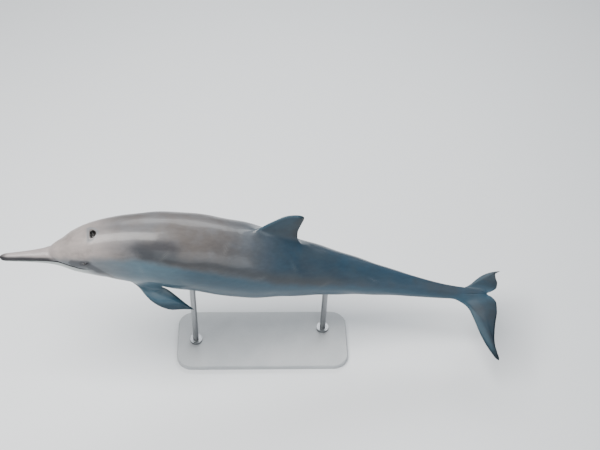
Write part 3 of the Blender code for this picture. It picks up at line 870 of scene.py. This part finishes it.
# every blend on the skin: where it sets in and is full, or the centre and width of a bell, and
# how far the wide and the cloudy noise shift it
skinBlends = {
    "cape": (-.014, .018, .05, .016), "belly": (-.010, .016, .035, .0112),
    # the head's blend lays on the painted sheen, the beak's the painted reflection on its top
    "headSheen": (.17, .275, .06, 0), "rearward": (.36, .56, .12, 0), "beak": (.088, .118, 0, .004),
    "sideMid": (.27, .39, .06, 0), "cheek": (.17, .27, 0, .03), "brown": (-.16, .22, 0, .6),
    "headDark": (-.05, .35, .5, 0), "napePlace": (.285, .058, .03, 0), "napeTurn": (42, 20, 0, 30),
    "nape": (.25, .8, 0, .5), "hem": (.024, .022, .05, .016), "hemStart": (.21, .29, 0, .03),
    "hemEnd": (.60, .80), "jaw": (-.0035, -.0015), "jawEnd": (.150, .185),
    "lip": (.0010, .0040, 0, .0012), "overLip": (-.001, .001), "overLipEnd": (.006, .016, .01, 0),
    "tip": (.006, .020, 0, .004), "patch": (1.2, 3.0, 0, .8), "stripe": (.007, .017, 0, .008),
    "onFin": (-.004, .050, 0, .02), "finLight": (-.25, .25, 1, 0), "front": (.003, .010, 0, .005),
    # the blowhole's paler rim is a painted highlight, and the dark of its hole painted shade
    "behind": (.004, .026, 0, .03), "notFlipper": (.3, .7), "glintRimStart": (1.2, 1.5),
    "glintRimEnd": (1.8, 2.6), "holeShade": (.95, 1.42, 0, .4), "mottle": (-.45, .45, 0, .7),
    "dull": (.62, .97),
}
# how strongly each layer covers what lies below it
skinShares = {
    "cheek": .8, "beakTopReflection": .8, "nape": .75, "hem": .75, "jaw": .92, "overLip": .88, "lip": .9,
    "tip": .65, "stripe": .62, "patch": .8, "front": .45, "behind": .5, "flipper": .5, "rim": .35,
    "mottle": .34, "scar": .22,
}


def skinMaterial():
    material, tree, shader = newMaterial("wetDolphinSkin", {
        "Roughness": .4, "Specular IOR Level": .3, "Coat Weight": .30, "Coat Roughness": .10,
        "Coat IOR": 1.4})
    settings = {"headLean": .0004, "jawFine": .001, "lipDown": .0002, "finDull": .6}
    spot = objectSpot(tree)
    place, turn = field(tree, "place"), field(tree, "turn")
    height, capeGap = field(tree, "finHeight"), field(tree, "capeGap")
    wide = noise(spot, 5.0, 4.0, .55) - .5
    cloud = noise(spot, 16.0, 5.0, .6) - .5
    fine = noise(stretched(spot, (.35, 1.0, 1.0)), 90.0, 4.0, .6) - .5

    def blend(name, value, shape=mask):
        first, second, *shifts = skinBlends[name]
        for pattern, shift in zip((wide, cloud), shifts):
            value = value + pattern * shift if shift else value
        return shape(value, first, second)

    def layer(name, share, colour, tone):
        return blendColour(share * skinShares[name], colour, skinTone[tone])

    # flank and belly
    rearward, beak = blend("rearward", place), 1 - blend("beak", place)
    side = blendColour(blend("sideMid", place), skinTone["side"], skinTone["sideMid"])
    side = blendColour(rearward, side, skinTone["sideRear"])
    side = layer("cheek", 1 - blend("cheek", place), side, "cheek")
    colour = blendColour(1 - blend("belly", field(tree, "bellyGap")), side, skinTone["belly"])

    # cape: brown and grey on the back, bluer to the rear, paler on the head as a painted sheen and
    # pale on top of the beak as a painted reflection, with a dark nape and a dark hem along its lower edge
    brown = blend("brown", wide)
    cape = blendColour(brown, skinTone["back"], skinTone["backBrown"])
    rear = blendColour(brown, skinTone["rear"], skinTone["rearBrown"])
    cape = blendColour(rearward, cape, rear)
    head = blendColour(blend("headDark", cloud), skinTone["head"], skinTone["headDark"])
    cape = blendColour(1 - blend("headSheen", place + turn * settings["headLean"]), cape, head)
    cape = layer("beakTopReflection", beak, cape, "beakTopReflection")
    nape = blend("napePlace", place, bellField) * blend("napeTurn", turn, bellField)
    cape = layer("nape", blend("nape", nape), cape, "backDark")
    hem = blend("hem", capeGap, bellField) * blend("hemStart", place) * (1 - blend("hemEnd", place))
    cape = layer("hem", hem, cape, "hem")
    colour = blendColour(blend("cape", capeGap), colour, cape)

    # light jaw and throat below the mouth, dark lips, dark tip of the beak
    lip, lipFade = field(tree, "lipGap"), field(tree, "lipFade")
    jaw = (1 - blend("jaw", lip + fine * settings["jawFine"])) * (1 - blend("jawEnd", place))
    colour = layer("jaw", jaw, colour, "jaw")
    overLip = blend("overLip", lip) * (1 - blend("overLipEnd", lip)) * beak
    colour = layer("overLip", overLip, colour, "lip")
    darkLip = (1 - blend("lip", abs(lip + settings["lipDown"]))) * lipFade
    colour = layer("lip", darkLip, colour, "lip")
    colour = layer("tip", 1 - blend("tip", place), colour, "lip")

    # dark stripe from the eye to the flipper, and the dark patch round the eye
    colour = layer("stripe", 1 - blend("stripe", field(tree, "stripeGap")), colour, "patch")
    colour = layer("patch", 1 - blend("patch", field(tree, "eyeGap")), colour, "patch")

    # fins: slate, paler along the front edge and darker at the rear edge; flippers are paler
    fin = blendColour(blend("finLight", cloud), skinTone["fin"], skinTone["finLight"])
    fin = layer("front", 1 - blend("front", field(tree, "leadGap")), fin, "finPale")
    fin = layer("behind", 1 - blend("behind", field(tree, "trailGap")), fin, "finDark")
    flipper = 1 - blend("notFlipper", abs(field(tree, "finKind") - finKinds["flipper"]))
    fin = layer("flipper", flipper, fin, "flipper")
    colour = blendColour(blend("onFin", height), colour, fin)

    # blowhole: painted shade darkens the inside, and a paler rim round it is a painted highlight
    blow = field(tree, "blowGap")
    rim = blend("glintRimStart", blow) * (1 - blend("glintRimEnd", blow))
    colour = layer("rim", rim, colour, "finPale")
    colour = blendColour(1 - blend("holeShade", blow), colour, skinTone["holeShade"])

    # cloudy mottling and the rake marks
    mottled = blendColour(blend("mottle", fine), skinTone["mottleDark"], skinTone["mottleLight"])
    colour = blendColour(skinShares["mottle"], colour, mottled, "OVERLAY")
    scar = rakeMarks(place, turn, spot)
    colour = layer("scar", scar, colour, "scar")

    # wet all over, and duller towards the tail and out on the fins
    dull = blend("dull", place + height * settings["finDull"])
    rough = .36 + cloud * .18 + fine * .10 + scar * .1 + dull * .24
    wet = .30 - dull * .26 + cloud * .10
    grain = noise(spot, 420.0, 3.0, .6) * .25 + noise(stretched(spot, (.5, 1, 1)), 60.0)
    feed(shader, {"Base Color": colour, "Roughness": rough, "Coat Weight": wet,
                  "Normal": bumpOf(grain - scar * .3, .16, .0012)})
    return material


# angles are degrees from the ball's pole; the pupil is a level oval a little above it, given
# by the squares of its half length and half height
eyeLook = {
    "iris": linear(24, 16, 12), "irisLight": linear(42, 28, 20), "white": linear(46, 37, 35),
    "whiteDark": linear(28, 22, 22), "ring": linear(16, 11, 10), "pupil": linear(6, 6, 8),
    "irisEdge": (34, 40), "ringStart": (28, 33), "ringEnd": (36, 41), "ringShare": .8,
    "pupilSquares": (380.0, 70.0), "pupilUp": 1.5, "pupilEdge": (.85, 1.15),
}


def eyeMaterial():
    material, tree, shader = newMaterial("wetEye", {
        "Roughness": .08, "Specular IOR Level": .6, "Coat Weight": 1.0, "Coat Roughness": .02})
    polar = field(tree, "polar")
    across, up = field(tree, "irisAlong"), field(tree, "irisUp") - eyeLook["pupilUp"]
    fibre = noise(objectSpot(tree), 900.0, 3.0, .6)
    iris = blendColour(mask(fibre, .35, .65), eyeLook["iris"], eyeLook["irisLight"])
    white = blendColour(mask(fibre, .3, .7), eyeLook["white"], eyeLook["whiteDark"])
    colour = blendColour(mask(polar, *eyeLook["irisEdge"]), iris, white)
    ring = mask(polar, *eyeLook["ringStart"]) * (1 - mask(polar, *eyeLook["ringEnd"]))
    colour = blendColour(ring * eyeLook["ringShare"], colour, eyeLook["ring"])
    squareLong, squareHigh = eyeLook["pupilSquares"]
    pupil = 1 - mask(across * across / squareLong + up * up / squareHigh, *eyeLook["pupilEdge"])
    feed(shader, {"Base Color": blendColour(pupil, colour, eyeLook["pupil"])})
    return material


steelTone = linear(122, 124, 127), linear(164, 166, 168)
paintTone = linear(160, 163, 166), linear(176, 178, 180)


def steelMaterial():
    material, tree, shader = newMaterial("brushedRodSteel", {"Metallic": 1.0, "Roughness": .3})
    spot = objectSpot(tree)
    lines = noise(stretched(spot, (1.0, 1.0, 60.0)), 40.0, 3.0, .6)
    smear = noise(spot, 12.0)
    rough = .24 + lines * .12 + smear * .10
    feed(shader, {"Base Color": blendColour(lines, *steelTone), "Roughness": rough,
                  "Normal": bumpOf(lines, .08, .0004)})
    return material


def baseMaterial():
    material, tree, shader = newMaterial("satinBasePaint", {"Roughness": .45, "Coat Weight": .15,
                                                            "Coat Roughness": .3})
    spot = objectSpot(tree)
    speck = noise(spot, 260.0, 3.0, .6)
    smear = noise(spot, 7.0, 4.0, .6)
    colour = blendColour(mask(smear + speck * .3, .35, .95), *paintTone)
    feed(shader, {"Base Color": colour, "Roughness": .38 + smear * .12 + speck * .06,
                  "Normal": bumpOf(speck, .10, .0003)})
    return material


skin.data.materials.append(skinMaterial())
gloss = eyeMaterial()
for piece in eyes.values():
    piece.data.materials.append(gloss)
steel, paint = steelMaterial(), baseMaterial()
for node in ("stand_rod_front", "stand_rod_rear"):
    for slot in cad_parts[node].material_slots:
        slot.material = steel
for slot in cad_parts["stand_base"].material_slots:
    slot.material = paint
print("materials made")

flesh = ("beak_upper", "lower_jaw", "head", "neck", "trunk_front", "trunk_middle", "trunk_rear",
         "tail_stock_front", "tail_stock_rear", "dorsal_fin", "flipper_left", "flipper_right",
         "fluke_left", "fluke_right")
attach(skin, "root")
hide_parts(*flesh)
for side, piece in eyes.items():
    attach(piece, "root")
    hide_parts("eye_" + side)

setting = {
    "floor": 60.0, "floorColour": linear(226, 228, 230), "floorShade": linear(218, 221, 224),
    "sky": (.86, .93, 1.0), "skyStrength": .32,
    # name, place, aim, size, watts, colour
    "lamps": (("key", (-1.1, -.5, 3.6), (0, 0, .4), (2.6, 1.8), 250, (1.0, .98, .95)),
              ("back", (.4, 2.6, 2.8), (0, 0, .5), (3.2, 1.2), 90, (.95, .98, 1.0)),
              ("fill", (1.0, -3.2, 1.5), (0, 0, .5), (2.6, 1.8), 45, (.9, .96, 1.0))),
    "elevation": 50.0, "wideAngle": 34.0, "sensor": 36.0, "distance": 3.648, "aim": (.165, .140),
}


def makeStage():
    size = setting["floor"] / 2
    corners = np.array([(-size, -size, 0), (size, -size, 0), (size, size, 0), (-size, size, 0)])
    floor = linkPiece("studioFloor", corners, [(0, 1, 2, 3)], False)
    material, tree, shader = newMaterial("paleFloor", {"Roughness": .7})
    cloud = noise(objectSpot(tree), 1.2)
    feed(shader, {"Base Color": blendColour(cloud * .5, setting["floorColour"], setting["floorShade"])})
    floor.data.materials.append(material)
    world = bpy.data.worlds.new("studioAir")
    bpy.context.scene.world = world
    world.use_nodes = True
    sky = world.node_tree.nodes["Background"]
    sky.inputs["Color"].default_value = (*setting["sky"], 1.0)
    sky.inputs["Strength"].default_value = setting["skyStrength"]


# turns that point an object's -Z from one spot to another, with its X as near a third
# direction as it can be
def aimedMatrix(spot, target, right=(1, 0, 0)):
    backward = np.array(spot, float) - np.array(target, float)
    backward /= np.linalg.norm(backward)
    right = np.array(right, float) - backward * np.dot(right, backward)
    right /= np.linalg.norm(right)
    upward = np.cross(backward, right)
    matrix = np.eye(4)
    matrix[:3, 0], matrix[:3, 1], matrix[:3, 2], matrix[:3, 3] = right, upward, backward, spot
    return matrix.T.tolist()


def makeLamps():
    for name, spot, target, size, watts, colour in setting["lamps"]:
        lamp = bpy.data.lights.new(name, "AREA")
        lamp.shape = "RECTANGLE"
        lamp.size, lamp.size_y = size
        lamp.energy = watts
        lamp.color = colour
        holder = bpy.data.objects.new(name, lamp)
        bpy.context.scene.collection.objects.link(holder)
        holder.matrix_world = aimedMatrix(spot, target)


def makeCamera():
    lens = bpy.data.cameras.new("portrait")
    lens.sensor_width = setting["sensor"]
    lens.lens = setting["sensor"] / 2 / math.tan(math.radians(setting["wideAngle"] / 2))
    camera = bpy.data.objects.new("portrait", lens)
    bpy.context.scene.collection.objects.link(camera)
    tilt = math.radians(setting["elevation"])
    backward = np.array((0.0, -math.cos(tilt), math.sin(tilt)))
    right = np.array((1.0, 0.0, 0.0))
    upward = np.cross(backward, right)
    middle = np.array(body["middle"])
    spot = middle + backward * setting["distance"]
    aim = middle + right * setting["aim"][0] + upward * setting["aim"][1]
    camera.matrix_world = aimedMatrix(spot, aim, right)
    bpy.context.scene.camera = camera


makeStage()
makeLamps()
makeCamera()
print("stage, lamps and camera made")
